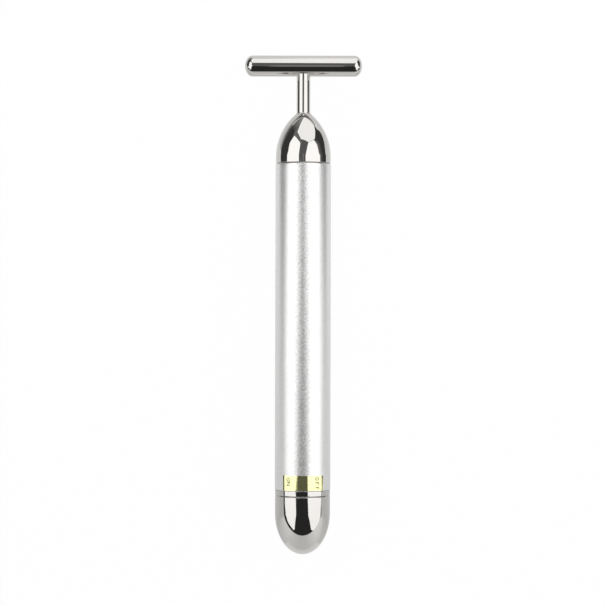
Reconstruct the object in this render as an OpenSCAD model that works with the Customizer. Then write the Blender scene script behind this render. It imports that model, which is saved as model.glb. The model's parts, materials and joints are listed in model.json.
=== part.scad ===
// Vibrating facial massage bar: a T head on a slim handle that holds one AA cell.
// Every piece is drawn upright, z = 0 at the tip of the end cap, with the front at -y,
// and the finished bar is laid on its back: head towards +Y, front facing +Z.

/* [Handle] */
// Length of the barrel tube
barrel_len = 105.4; // [102:0.2:130]
// Wall of the barrel tube
barrel_wall = 0.9; // [0.7:0.05:1.2]
// Wall of the plastic sleeve that lines the barrel
sleeve_wall = 0.63; // [0.5:0.01:1.2]

/* [T head] */
// Length of the massage bar
bar_len = 38; // [30:1:60]
// Diameter of the massage bar
bar_d = 6.8; // [6:0.1:10]
// Depth of the rounded ends of the massage bar
bar_end = 2.15; // [1:0.05:3]
// Diameter of the stem
stem_d = 4.4; // [4:0.1:4.8]
// Bare length of stem between the nose cone and the bar
neck_len = 12.3; // [6:0.1:25]
// Thread diameter at the foot of the stem
stem_thread_d = 3; // [2.5:0.5:3]

/* [Nose cone] */
// Step from the barrel down to the foot of the nose cone, on the radius
nose_step = 0.1; // [0.05:0.05:0.4]
// Height of the nose cone above the barrel
nose_len = 16.1; // [16:0.1:20]
// Straight collar at the foot of the nose cone
nose_straight = 2.3; // [1:0.1:3]
// Diameter of the flat tip that the stem stands on
nose_tip_d = 5.2; // [5:0.1:6]
// Wall of the nose cone
nose_wall = 1.2; // [1:0.05:1.4]
// Depth of the nose spigot inside the barrel
nose_spigot = 5; // [3:0.5:7]

/* [End cap] */
// Height of the rounded end of the cap
cap_dome = 13.4; // [12.5:0.1:20]
// Straight part of the cap above the rounded end
cap_straight = 5.75; // [4:0.05:12]
// Step from the barrel down to the cap and its ring, on the radius
cap_step = 0.08; // [0.02:0.02:0.2]
// Wall of the cap round the plug's journal
cap_wall = 1.4; // [1.3:0.05:1.6]
// Wall at the tip of the cap
cap_tip_wall = 1.5; // [1:0.1:2.5]
// Turning gap between the cap and the collar ring
cap_seam = 0.2; // [0.1:0.05:0.5]
// Height of the collar ring
ring_h = 1.75; // [1.4:0.05:3]

/* [Twist switch] */
// Turn of the cap from OFF to ON, in degrees
twist = 60; // [40:5:80]
// Length of the plug inside the barrel
plug_in = 7.2; // [6:0.2:10]
// Length of the plug's journal inside the cap
journal_len = 3.8; // [3.6:0.1:5]
// Wall between the spring's cup and the seal's groove
cup_wall = 1.66; // [1.5:0.02:2]
// Cord diameter of the plug's seal
seal_cord = 1; // [0.8:0.05:1.1]
// Diameter of the contact rivets
rivet_d = 0.9; // [0.7:0.05:1]
// Shoulder diameter of the pivot screw
pivot_d = 3; // [2.6:0.1:3.4]

/* [Battery] */
// Diameter of the AA cell over its jacket
cell_d = 14.3; // [14:0.05:14.4]
// Length of the AA cell over its button
cell_len = 50.5; // [49.5:0.5:51]
// Play between the cell and its sleeve, on the radius
cell_play = 0.3; // [0.2:0.02:0.32]
// Wire diameter of the battery spring
spring_wire = 0.6; // [0.5:0.05:0.7]
// Number of turns in the battery spring
spring_turns = 4; // [3:1:5]

/* [Motor] */
// Width of the motor over its round sides
motor_w = 12; // [11.5:0.1:12]
// Height of the motor over its flats
motor_h = 10; // [9.5:0.1:10.2]
// Length of the motor's case
motor_len = 15; // [14:0.5:18]
// Diameter of the motor's shaft
shaft_d = 1.5; // [1.2:0.1:1.6]
// Radius of the eccentric weight
weight_r = 5.6; // [4:0.1:6]
// Length of the eccentric weight
weight_len = 6; // [3:0.5:7]
// Diameter of the insulated leads
lead_d = 1.1; // [0.8:0.1:1.3]

/* [Switch label] */
// Part of the barrel's circumference that the label covers, in degrees
label_angle = 90; // [60:5:120]
// Height of the label along the barrel
label_h = 4.8; // [3:0.1:8]
// Thickness of the label foil
label_t = 0.08; // [0.05:0.01:0.15]

/* [Fits] */
// Gap of pressed and glued fits, on the radius
press_gap = 0.02; // [0.01:0.01:0.03]
// Gap of turning fits, on the radius
turn_gap = 0.06; // [0.03:0.01:0.1]
// Gap of the plug in the barrel, on the radius
slide_gap = 0.1; // [0.05:0.01:0.15]

/* [Hidden] */
$fn = 96;
// Overlap that joins two shapes, and how far a cut runs past a face
eps = 0.01;
cut = 1;

// Heights along the bar, from the tip of the end cap
cap_top = cap_dome + cap_straight;
ring_z = cap_top + cap_seam;
barrel_z = ring_z + ring_h;
barrel_top = barrel_z + barrel_len;
nose_top = barrel_top + nose_len;
bar_z = nose_top + neck_len + bar_d / 2;
total_len = bar_z + bar_d / 2;

// Edges of the barrel and the glue under the label
barrel_edge = 0.15;
label_glue = 0.01;

// Radii shared by pieces that fit each other
sleeve_bore_r = cell_d / 2 + cell_play;
sleeve_r = sleeve_bore_r + sleeve_wall;
bore_r = sleeve_r + press_gap;
barrel_r = bore_r + barrel_wall;
cap_r = barrel_r - cap_step;
cap_bore_r = cap_r - cap_wall;
journal_r = cap_bore_r - turn_gap;
plug_r = bore_r - slide_gap;
seal_groove_r = bore_r - seal_cord - 2 * press_gap;
cup_r = seal_groove_r - cup_wall;
rivet_r = rivet_d / 2;

// Directions round the axis: the contacts are at the back, the key at the front
contact_dir = 90;
key_dir = 270;
stop_dir = 300;

// Plug and what it carries
journal_z = cap_top - journal_len;
plug_floor_t = 2.8;
plug_top = barrel_z + plug_in;
cup_floor_z = journal_z + plug_floor_t;
plate_t = 0.3;
plate_gap = 0.3;
seal_play = 0.2;
seal_groove_h = seal_cord + seal_play;
seal_rise = 3.2;
seal_z = barrel_z + seal_rise;
key_angle = 20;
key_t = 0.45;
key_h = 2.4;
key_gap = 0.05;
key_r = sleeve_bore_r + key_gap;
key_play = 0.2;
key_side_play = 2;
leaf_w = 2;
leaf_t = 0.25;
leaf_gap = 0.1;
outer_rivet_pos = cup_r + cup_wall / 2;
rivet_head_w = 0.35;
rivet_head_r = rivet_r + rivet_head_w;
rivet_head_t = 0.3;
rivet_proud = 0.15;

// Rib in the cap that keys the wiper disc and stops the twist in the journal's groove
stop_angle = 12;
stop_w = 0.8;
stop_r = journal_r - stop_w;
stop_play = 0.5;
stop_h = 2.6;
stop_top = journal_z + stop_h;
stop_clear = 0.1;

// Inside of the cap
wiper_drop = 1.1;
disc_t = 1.2;
disc_z = journal_z - wiper_drop - disc_t;
ledge_w = 0.7;
boss_r = 2.6;
boss_root = 0.2;
pivot_washer_t = 0.3;
boss_top = journal_z - pivot_washer_t - 2 * press_gap;
screw_thread_r = 1.2;
screw_thread_len = 7;
screw_tip_gap = 0.5;
screw_head_r = 2.4;
screw_head_h = 1.5;
inner_rivet_pos = (screw_head_r + plate_gap + cup_r) / 2;
bridge_t = 0.25;
bridge_angle = 26;
bridge_in_gap = 0.5;
bridge_out_gap = 0.4;
dimple_r = 0.75;
dimple_gap = 0.04;

// Sleeve and cell
sleeve_gap = 0.5;
cell_rise = 1.2;
sleeve_z = plug_top + sleeve_gap;
cell_z = plug_top + cell_rise;
cell_top = cell_z + cell_len;
jacket_t = 0.1;
can_r = cell_d / 2 - jacket_t;
can_t = 0.35;
button_r = 2.6;
button_h = 1.5;
cell_seal_w = 1.5;
negative_r = can_r - can_t - cell_seal_w;
negative_t = 0.4;
cell_seal_h = 2;
jacket_end = 0.2;

// Positive contact and its bulkhead
contact_t = 0.3;
contact_r = 4;
contact_post_r = 1;
bulkhead_t = 2.8;
bulkhead_z = cell_top + contact_t + 2 * press_gap;
bulkhead_top = bulkhead_z + bulkhead_t;
solder_head_h = 0.5;
solder_head_r = 1.7;
post_rise = 1.2;
post_top = bulkhead_top + post_rise;

// Return strip along the sleeve
strip_w = 2.4;
strip_t = 0.25;
strip_inset = 0.05;
strip_y = sleeve_bore_r + strip_inset;
strip_rise = 6;
strip_top = bulkhead_top + strip_rise;
strip_gap = 0.05;
strip_foot_z = plug_top + leaf_t + strip_gap;
slot_play = 0.1;
slot_end_play = 0.5;
strip_foot_in = 0.15;
strip_foot_gap = 0.15;

// Motor, counted down from the top of the barrel
motor_sink = 0.8;
motor_top = barrel_top - motor_sink;
motor_z = motor_top - motor_len;
case_t = 0.5;
bell_t = 1.2;
bell_plug = 0.7;
front_boss_r = 2;
front_boss_h = 0.6;
bush_r = 1.4;
cradle_foot = 3;
cradle_z = motor_z - cradle_foot;
cradle_play = 0.05;
cradle_step_gap = 0.2;
cradle_hole_play = 0.15;
cradle_sink = 0.4;
cradle_top = barrel_top - cradle_sink;
spigot_wall = 0.98;
nose_bore_r = sleeve_r - spigot_wall;
magnet_t = 1.1;
magnet_angle = 100;
magnet_foot_gap = 4.3;
magnet_top_gap = 0.6;
magnet_z = motor_z + magnet_foot_gap;
magnet_len = motor_top - case_t - magnet_top_gap - magnet_z;
core_inset = 1.2;
core_z = magnet_z + core_inset;
core_len = magnet_len - 2 * core_inset;
air_gap = 0.4;
core_r = motor_w / 2 - case_t - magnet_t - air_gap;
arm_w = 1.2;
hub_r = 1.7;
shoe_t = 0.85;
shoe_angle = 96;
coil_t = 0.75;
coil_gap = 0.1;
commutator_r = 1.5;
commutator_len = 2.2;
commutator_gap = 0.2;
commutator_z = motor_z + bell_t + bell_plug + commutator_gap;
brush_t = 0.15;
brush_w = 1;
brush_y = commutator_r + press_gap;
brush_rise = 0.4;
brush_z = commutator_z + brush_rise;
brush_reach = 1.2;
terminal_x = 3.6;
terminal_y = brush_y + brush_t + press_gap;
terminal_w = 1.6;
terminal_t = 0.3;
terminal_drop = 2.2;
cradle_hole_r = norm([terminal_x + terminal_w / 2, terminal_y + terminal_t])
    + cradle_hole_play;
weight_gap = 0.6;
weight_z = motor_top + front_boss_h + weight_gap;
shaft_inset = 0.4;
shaft_foot = motor_z + shaft_inset;
shaft_proud = 0.3;
shaft_top = weight_z + weight_len + shaft_proud;
weight_hub_t = 1;
weight_drop = 0.3;

// Nose cone: a circular arc from the straight collar to the tip
nose_r = barrel_r - nose_step;
nose_arc_h = nose_len - nose_straight;
nose_fall = nose_r - nose_tip_d / 2;
nose_arc_r = (nose_arc_h * nose_arc_h + nose_fall * nose_fall) / (2 * nose_fall);
nose_cavity_r = nose_arc_r - nose_wall;
nut_seat_r = 4;
nose_arc_z = barrel_top + nose_straight;
nut_seat_z = nose_arc_z
    + sqrt(pow(nose_cavity_r, 2) - pow(nut_seat_r + nose_arc_r - nose_r, 2));
arc_steps = 24;

// Nut and washer under the nose tip
stem_washer_t = 0.5;
stem_washer_r = 3;
nut_af = 5.5;
nut_h = 2.4;
nut_z = nut_seat_z - stem_washer_t - nut_h - 2 * press_gap;
stem_proud = 0.5;
stem_foot_z = nut_z - stem_proud;
stem_thread_r = stem_thread_d / 2;
stem_r = stem_d / 2;

// Leads, from the positive post and from the return strip to the motor's terminals
lead_r = lead_d / 2;
lead_sides = 8;
lead_ease = 9;
lead_y = terminal_y + terminal_t / 2;
lead_top = motor_z - terminal_drop - press_gap;
red_start = [0, 0, post_top + press_gap];
black_start = [0, strip_y - lead_r - press_gap, strip_top - strip_rise / 2];
red_route = lead_route(red_start, [terminal_x, lead_y, lead_top], lead_ease, 16);
black_route = lead_route(black_start, [-terminal_x, -lead_y, lead_top], lead_ease, 16);

// Colours
chrome = "silver";
satin = "gainsboro";
steel = "lightsteelblue";
brass = "goldenrod";
copper = "chocolate";
white_plastic = "whitesmoke";
black_plastic = "dimgray";

// Placing

// Lays the upright bar on its back, so that it rests on the barrel
module laid() {
    translate([0, -total_len / 2, barrel_r]) rotate([-90, 0, 0]) children();
}

// A straight tube from height z
module tube(r_out, r_in, h, z) {
    translate([0, 0, z]) difference() {
        cylinder(r = r_out, h = h);
        translate([0, 0, -cut]) cylinder(r = r_in, h = h + 2 * cut);
    }
}

// A solid round bar from height z
module rod(r, h, z) {
    translate([0, 0, z]) cylinder(r = r, h = h);
}

// A ring sector centred on direction dir
module sector(r_in, r_out, h, z, angle, dir) {
    translate([0, 0, z]) rotate([0, 0, dir - angle / 2])
        rotate_extrude(angle = angle) translate([r_in, 0]) square([r_out - r_in, h]);
}

// A block whose middle is at x = 0, from y0 to y1
module plate(w, y0, y1, h, z) {
    translate([-w / 2, y0, z]) cube([w, y1 - y0, h]);
}

// A round bar with two flats, of width w and height h
module flatted(w, h, len, z) {
    intersection() {
        rod(w / 2, len, z);
        translate([-w, -h / 2, z - cut]) cube([2 * w, h, len + 2 * cut]);
    }
}

// Swept tubes

function unit(v) = v / norm(v);
function tangent(path, i) =
    unit(path[min(i + 1, len(path) - 1)] - path[max(i - 1, 0)]);
function section(p, t, ref, r, sides) =
    let (a = unit(cross(t, ref)), b = cross(t, a))
    [for (k = [0 : sides - 1])
        p + r * (cos(360 * k / sides) * a + sin(360 * k / sides) * b)];

// One unbroken tube along path; ref is a direction that the path never takes
module swept(path, r, sides, ref) {
    last = len(path) - 1;
    points = [for (i = [0 : last]) each section(path[i], tangent(path, i), ref, r, sides)];
    walls = [for (i = [0 : last - 1]) for (k = [0 : sides - 1])
        let (a = i * sides + k, b = i * sides + (k + 1) % sides)
        each [[a, a + sides, b + sides], [a, b + sides, b]]];
    start = [[for (k = [0 : sides - 1]) k]];
    end = [[for (k = [sides - 1 : -1 : 0]) last * sides + k]];
    polyhedron(points = points, faces = concat(start, walls, end), convexity = 10);
}

// A smooth route from p0 to p1 that leaves and arrives along the bar
function lead_route(p0, p1, ease, steps) =
    [for (i = [0 : steps])
        let (t = i / steps, s = 1 - t)
        s * s * s * p0 + 3 * s * s * t * (p0 + [0, 0, ease])
        + 3 * s * t * t * (p1 - [0, 0, ease]) + t * t * t * p1];

// T head

// Outline of the bar's half section, with elliptical ends
function bar_outline(r, half, depth, steps) = concat(
    [[0, -half]],
    [for (i = [1 : steps]) let (a = 90 * i / steps)
        [r * sin(a), -half + depth * (1 - cos(a))]],
    [for (i = [steps : -1 : 1]) let (a = 90 * i / steps)
        [r * sin(a), half - depth * (1 - cos(a))]],
    [[0, half]]);

module t_bar() {
    color(chrome) difference() {
        translate([0, 0, bar_z]) rotate([0, 90, 0])
            rotate_extrude() polygon(bar_outline(bar_d / 2, bar_len / 2, bar_end, 12));
        rod(stem_r + press_gap, bar_d / 2 + cut, bar_z - bar_d / 2 - cut);
    }
}

module stem() {
    color(chrome) union() {
        rod(stem_r, bar_z - press_gap - nose_top, nose_top);
        rod(stem_thread_r, nose_top - stem_foot_z + eps, stem_foot_z);
    }
}

// Radius of the nose cone's arc at height z, for an arc radius of r
function nose_profile(z, r) =
    sqrt(pow(r, 2) - pow(z - nose_arc_z, 2)) - (nose_arc_r - nose_r);

module nose_outside() {
    rotate_extrude() polygon(concat(
        [[0, barrel_top], [nose_r, barrel_top]],
        [for (i = [0 : arc_steps])
            let (z = nose_arc_z + nose_arc_h * sin(90 * i / arc_steps))
            [nose_profile(z, nose_arc_r), z]],
        [[0, nose_top]]));
}

// Hollow under the tip, narrowing from the spigot's bore to the nut's seat
module nose_hollow() {
    rise = nut_seat_z - nose_arc_z;
    rotate_extrude() polygon(concat(
        [[0, barrel_top - eps], [nose_bore_r, barrel_top - eps]],
        [for (i = [0 : arc_steps])
            let (z = nose_arc_z + rise * i / arc_steps)
            [min(nose_bore_r, nose_profile(z, nose_cavity_r)), z]],
        [[0, nut_seat_z]]));
}

module nose_cone() {
    color(chrome) difference() {
        union() {
            nose_outside();
            tube(sleeve_r, nose_bore_r, nose_spigot + eps, barrel_top - nose_spigot);
        }
        nose_hollow();
        rod(stem_thread_r + press_gap, nose_len, nut_seat_z - cut);
    }
}

module stem_washer() {
    color(steel) tube(stem_washer_r, stem_thread_r + press_gap, stem_washer_t,
        nut_seat_z - stem_washer_t - press_gap);
}

module stem_nut() {
    color(steel) difference() {
        translate([0, 0, nut_z]) cylinder(d = nut_af / cos(30), h = nut_h, $fn = 6);
        rod(stem_thread_r + press_gap, nut_h + 2 * cut, nut_z - cut);
    }
}

// Motor

module motor_cradle() {
    step_z = barrel_top - nose_spigot - cradle_step_gap;
    color(black_plastic) difference() {
        union() {
            rod(sleeve_r, step_z - cradle_z, cradle_z);
            rod(nose_bore_r - cradle_play, cradle_top - cradle_z, cradle_z);
        }
        flatted(motor_w + 2 * cradle_play, motor_h + 2 * cradle_play,
            cradle_top - motor_z + cut, motor_z);
        rod(cradle_hole_r, motor_z - cradle_z + 2 * cut, cradle_z - cut);
    }
}

module motor_can() {
    color(steel) difference() {
        union() {
            flatted(motor_w, motor_h, motor_len - bell_t, motor_z + bell_t);
            rod(front_boss_r, front_boss_h + eps, motor_top - eps);
        }
        flatted(motor_w - 2 * case_t, motor_h - 2 * case_t,
            motor_len - bell_t - case_t + cut, motor_z + bell_t - cut);
        rod(bush_r + press_gap, case_t + front_boss_h + 2 * cut,
            motor_top - case_t - cut);
    }
}

module motor_magnets() {
    r_out = motor_w / 2 - case_t - press_gap;
    color(black_plastic) intersection() {
        for (dir = [0, 180])
            sector(r_out - magnet_t, r_out, magnet_len, magnet_z, magnet_angle, dir);
        translate([-motor_w, -motor_h / 2 + case_t + press_gap, magnet_z - cut])
            cube([2 * motor_w, motor_h - 2 * case_t - 2 * press_gap,
                magnet_len + 2 * cut]);
    }
}

module motor_bushes() {
    color(brass) {
        tube(bush_r, shaft_d / 2 + turn_gap / 2, case_t + front_boss_h,
            motor_top - case_t);
        tube(bush_r, shaft_d / 2 + turn_gap / 2, bell_t + bell_plug, motor_z);
    }
}

// Puts a copy on each side of the shaft, a half turn apart
module both_poles() {
    for (dir = [0, 180]) rotate([0, 0, dir]) children();
}

module motor_end_bell() {
    color(white_plastic) difference() {
        union() {
            flatted(motor_w, motor_h, bell_t, motor_z);
            flatted(motor_w - 2 * case_t - 2 * press_gap,
                motor_h - 2 * case_t - 2 * press_gap, bell_plug + eps,
                motor_z + bell_t - eps);
        }
        rod(bush_r + press_gap, bell_t + bell_plug + 2 * cut, motor_z - cut);
        both_poles() translate([terminal_x, 0, 0])
            plate(terminal_w + 2 * press_gap, terminal_y - press_gap,
                terminal_y + terminal_t + press_gap, bell_t + bell_plug + 2 * cut,
                motor_z - cut);
    }
}

module motor_terminals() {
    bottom = motor_z - terminal_drop;
    color(brass) both_poles() translate([terminal_x, 0, 0])
        plate(terminal_w, terminal_y, terminal_y + terminal_t,
            brush_z + brush_w - bottom, bottom);
}

module motor_brushes() {
    color(copper) both_poles() translate([-brush_reach, brush_y, brush_z])
        cube([terminal_x + terminal_w / 2 + brush_reach, brush_t, brush_w]);
}

module motor_shaft() {
    color(steel) rod(shaft_d / 2, shaft_top - shaft_foot, shaft_foot);
}

// The three poles of the armature
module three_poles() {
    for (dir = [90, 210, 330]) rotate([0, 0, dir]) children();
}

module armature_core() {
    color(steel) difference() {
        union() {
            rod(hub_r, core_len, core_z);
            three_poles() {
                translate([0, -arm_w / 2, core_z]) cube([core_r - shoe_t / 2, arm_w, core_len]);
                sector(core_r - shoe_t, core_r, core_len, core_z, shoe_angle, 0);
            }
        }
        rod(shaft_d / 2 + press_gap, core_len + 2 * cut, core_z - cut);
    }
}

module armature_windings() {
    half_w = arm_w / 2 + coil_t;
    start = hub_r + coil_gap;
    depth = sqrt(pow(core_r - shoe_t - coil_gap, 2) - half_w * half_w) - start;
    color(copper) three_poles() difference() {
        translate([start, -half_w, core_z - coil_t])
            cube([depth, 2 * half_w, core_len + 2 * coil_t]);
        translate([start - cut, -arm_w / 2 - press_gap, core_z - press_gap])
            cube([depth + 2 * cut, arm_w + 2 * press_gap, core_len + 2 * press_gap]);
    }
}

module commutator() {
    color(copper) tube(commutator_r, shaft_d / 2 + press_gap, commutator_len,
        commutator_z);
}

// Half round weight that hangs below the shaft when the bar lies on its back
module eccentric_weight() {
    color(brass) difference() {
        union() {
            intersection() {
                rod(weight_r, weight_len, weight_z);
                translate([-weight_r - cut, weight_drop, weight_z - cut])
                    cube([2 * (weight_r + cut), weight_r + cut, weight_len + 2 * cut]);
            }
            rod(shaft_d / 2 + weight_hub_t, weight_len, weight_z);
        }
        rod(shaft_d / 2 + press_gap, weight_len + 2 * cut, weight_z - cut);
    }
}

// Handle

module barrel() {
    color(satin) rotate_extrude() polygon([
        [bore_r, barrel_z],
        [barrel_r - barrel_edge, barrel_z],
        [barrel_r, barrel_z + barrel_edge],
        [barrel_r, barrel_top - barrel_edge],
        [barrel_r - barrel_edge, barrel_top],
        [bore_r, barrel_top]
    ]);
}

module switch_label() {
    foil_r = barrel_r + label_glue;
    color("gold") sector(foil_r, foil_r + label_t, label_h, barrel_z + barrel_edge,
        label_angle, key_dir);
}

module battery_sleeve() {
    color(white_plastic) difference() {
        tube(sleeve_r, sleeve_bore_r, cradle_z - press_gap - sleeve_z, sleeve_z);
        plate(strip_w + 2 * slot_play, sleeve_bore_r - cut, bore_r + cut,
            strip_top + slot_end_play - sleeve_z + cut, sleeve_z - cut);
        sector(sleeve_bore_r - cut, bore_r + cut, key_h + key_play + cut,
            plug_top - cut, key_angle + 2 * key_side_play, key_dir);
    }
}

module contact_bulkhead() {
    color(white_plastic) tube(sleeve_bore_r - press_gap, contact_post_r + press_gap,
        bulkhead_t, bulkhead_z);
}

module positive_contact() {
    color(steel) {
        rod(contact_r, contact_t, cell_top + press_gap);
        rod(contact_post_r, post_top - cell_top - press_gap - contact_t + eps,
            cell_top + press_gap + contact_t - eps);
        rod(solder_head_r, solder_head_h, bulkhead_top + press_gap);
    }
}

module return_strip() {
    color(brass) union() {
        plate(strip_w, strip_y, strip_y + strip_t, strip_top - strip_foot_z,
            strip_foot_z);
        plate(strip_w, strip_y - strip_foot_in, bore_r - strip_foot_gap, strip_t,
            strip_foot_z);
    }
}

module red_lead() {
    color("firebrick") swept(red_route, lead_r, lead_sides, [0, 1, 0]);
}

module black_lead() {
    color("black") swept(black_route, lead_r, lead_sides, [1, 0, 0]);
}

// Battery cell

module cell_can() {
    shoulder = cell_top - button_h;
    color(steel) difference() {
        union() {
            rod(can_r, shoulder - cell_z, cell_z);
            rod(button_r, button_h + eps, shoulder - eps);
        }
        rod(can_r - can_t, shoulder - cell_z - can_t + cut, cell_z - cut);
        rod(button_r - can_t, button_h, shoulder - can_t);
    }
}

module cell_core() {
    color(black_plastic) rod(can_r - can_t - press_gap,
        cell_len - button_h - can_t - cell_seal_h - 2 * press_gap,
        cell_z + cell_seal_h);
}

module cell_seal() {
    color(black_plastic) tube(can_r - can_t - press_gap, negative_r + press_gap,
        cell_seal_h - 2 * press_gap, cell_z + press_gap);
}

module cell_negative_cap() {
    color(steel) difference() {
        rod(negative_r, cell_seal_h - 2 * press_gap, cell_z);
        rod(negative_r - negative_t, cell_seal_h, cell_z + negative_t);
    }
}

module cell_jacket() {
    color("seagreen") tube(cell_d / 2, can_r + press_gap / 2,
        cell_len - button_h - 2 * jacket_end, cell_z + jacket_end);
}

// Switch plug

module plug_body() {
    rod(journal_r, barrel_z - journal_z + eps, journal_z);
    rod(plug_r, plug_in, barrel_z);
    sector(key_r, key_r + key_t, key_h + eps, plug_top - eps, key_angle, key_dir);
}

// Arc in the journal that lets the cap turn by the switch's angle
module stop_groove() {
    sweep = twist + stop_angle + 2 * stop_play;
    sector(stop_r - stop_clear, journal_r + cut, stop_top + stop_clear - journal_z + cut,
        journal_z - cut, sweep, stop_dir - twist / 2);
}

module at_contact(pos) {
    rotate([0, 0, contact_dir]) translate([pos, 0, 0]) children();
}

module switch_plug() {
    color(white_plastic) difference() {
        plug_body();
        rod(cup_r, plug_top - cup_floor_z + cut, cup_floor_z);
        rod(pivot_d / 2 + turn_gap, plug_floor_t + 2 * cut, journal_z - cut);
        tube(plug_r + cut, seal_groove_r, seal_groove_h, seal_z - seal_groove_h / 2);
        stop_groove();
        for (pos = [inner_rivet_pos, outer_rivet_pos]) at_contact(pos) {
            rod(rivet_r + press_gap, plug_top - journal_z + 2 * cut, journal_z - cut);
            rod(rivet_head_r + press_gap, rivet_head_t, journal_z - rivet_proud);
        }
    }
}

module collar_ring() {
    color(chrome) tube(cap_r, journal_r + press_gap, ring_h - press_gap, ring_z);
}

module plug_seal() {
    color("black") translate([0, 0, seal_z])
        rotate_extrude() translate([bore_r - press_gap - seal_cord / 2, 0])
            circle(d = seal_cord, $fn = 32);
}

module spring_plate() {
    color(steel) tube(cup_r - press_gap, screw_head_r + plate_gap, plate_t,
        cup_floor_z + press_gap);
}

// Conical spring: it climbs slowly at its ends, where it lies on the plate and the cell
spring_r = spring_wire / 2;
spring_z0 = cup_floor_z + plate_t + spring_r + 2 * press_gap;
spring_z1 = cell_z - spring_r - press_gap;
spring_side_gap = 0.3;
spring_big_r = cup_r - spring_r - spring_side_gap;
spring_small_r = 2.6;
rings_per_turn = 8;
end_pace = 0.45;
function spring_rise(t) = t * t * (3 - 2 * t) * (1 - end_pace) + t * end_pace;
spring_path = [for (i = [0 : spring_turns * rings_per_turn])
    let (t = i / (spring_turns * rings_per_turn), a = 360 * i / rings_per_turn,
        r = spring_big_r + (spring_small_r - spring_big_r) * t)
    [r * cos(a), r * sin(a), spring_z0 + (spring_z1 - spring_z0) * spring_rise(t)]];
spring_gap = min([for (i = [0 : len(spring_path) - 1])
    for (j = [i + rings_per_turn / 2 : 1 : len(spring_path) - 1])
        norm(spring_path[i] - spring_path[j])]) - spring_wire;
echo(least_gap_between_spring_turns = spring_gap);

module battery_spring() {
    color(steel) swept(spring_path, spring_r, 6, [0, 0, 1]);
}

module switch_rivets() {
    color(brass) {
        at_contact(inner_rivet_pos) {
            rod(rivet_r, cup_floor_z - journal_z, journal_z);
            rod(rivet_head_r, rivet_head_t, journal_z - rivet_proud);
        }
        at_contact(outer_rivet_pos) {
            rod(rivet_r, plug_top - journal_z, journal_z);
            rod(rivet_head_r, rivet_head_t, journal_z - rivet_proud);
        }
    }
}

module return_leaf() {
    color(brass) plate(leaf_w, outer_rivet_pos - rivet_r, plug_r - leaf_gap, leaf_t,
        plug_top + press_gap);
}

// End cap

cap_cavity_r = cap_bore_r - ledge_w;

function cap_outline(r, top, depth, steps) = concat(
    [[0, top - depth]],
    [for (i = [1 : steps]) let (a = 90 * i / steps)
        [r * sin(a), top - depth * cos(a)]]);

module cap_shell() {
    difference() {
        rotate_extrude() polygon(concat(
            cap_outline(cap_r, cap_dome, cap_dome, arc_steps),
            [[cap_r, cap_top], [0, cap_top]]));
        rotate_extrude() polygon(concat(
            cap_outline(cap_cavity_r, disc_z, disc_z - cap_tip_wall, arc_steps),
            [[cap_cavity_r, disc_z + eps], [0, disc_z + eps]]));
        rod(cap_bore_r, cap_top - disc_z + cut, disc_z);
    }
}

module end_cap() {
    color(chrome) difference() {
        union() {
            cap_shell();
            rod(boss_r, boss_top - cap_tip_wall + boss_root, cap_tip_wall - boss_root);
            sector(stop_r, cap_bore_r + cap_wall / 2, stop_top - disc_z + eps,
                disc_z - eps, stop_angle, stop_dir);
        }
        rod(screw_thread_r + press_gap, screw_thread_len + screw_tip_gap + cut,
            boss_top - screw_thread_len - screw_tip_gap);
    }
}

module wiper_disc() {
    color(black_plastic) difference() {
        tube(cap_bore_r - press_gap, boss_r + press_gap, disc_t - press_gap,
            disc_z + press_gap);
        sector(stop_r - stop_clear, cap_bore_r + cut, disc_t + 2 * cut, disc_z - cut,
            stop_angle + 2 * stop_play, stop_dir);
    }
}

module wiper_bridge() {
    z = disc_z + disc_t + press_gap;
    dir = contact_dir + twist;
    color(brass) union() {
        sector(boss_r + bridge_in_gap, cap_bore_r - bridge_out_gap, bridge_t, z,
            bridge_angle, dir);
        for (pos = [inner_rivet_pos, outer_rivet_pos])
            rotate([0, 0, dir]) translate([pos, 0, 0])
                intersection() {
                    translate([0, 0, journal_z - rivet_proud - dimple_gap - dimple_r])
                        sphere(r = dimple_r);
                    rod(dimple_r, wiper_drop, z);
                }
    }
}

module pivot_screw() {
    color(steel) union() {
        rod(screw_head_r, screw_head_h, cup_floor_z + press_gap);
        rod(pivot_d / 2, cup_floor_z - boss_top, boss_top + press_gap);
        rod(screw_thread_r, screw_thread_len, boss_top - screw_thread_len + 2 * press_gap);
    }
}

module pivot_washer() {
    color(steel) tube(boss_r, pivot_d / 2 + press_gap, pivot_washer_t,
        boss_top + press_gap);
}

laid() t_bar();
laid() stem();
laid() nose_cone();
laid() stem_washer();
laid() stem_nut();
laid() motor_cradle();
laid() motor_can();
laid() motor_magnets();
laid() motor_bushes();
laid() motor_end_bell();
laid() motor_terminals();
laid() motor_brushes();
laid() motor_shaft();
laid() armature_core();
laid() armature_windings();
laid() commutator();
laid() eccentric_weight();
laid() barrel();
laid() switch_label();
laid() battery_sleeve();
laid() contact_bulkhead();
laid() positive_contact();
laid() return_strip();
laid() red_lead();
laid() black_lead();
laid() cell_can();
laid() cell_core();
laid() cell_seal();
laid() cell_negative_cap();
laid() cell_jacket();
laid() switch_plug();
laid() collar_ring();
laid() plug_seal();
laid() battery_spring();
laid() spring_plate();
laid() switch_rivets();
laid() return_leaf();
laid() end_cap();
laid() wiper_disc();
laid() wiper_bridge();
laid() pivot_screw();
laid() pivot_washer();
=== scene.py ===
"""Looks of the T-headed massage bar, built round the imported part.

Shapes are drawn in millimetres in the handle's own frame, z = 0 at the tip of the end cap and the
front at -y, as the part's source draws them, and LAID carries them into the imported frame.
"""

import json
import math

import bpy
import bmesh
from mathutils import Matrix, Vector

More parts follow.
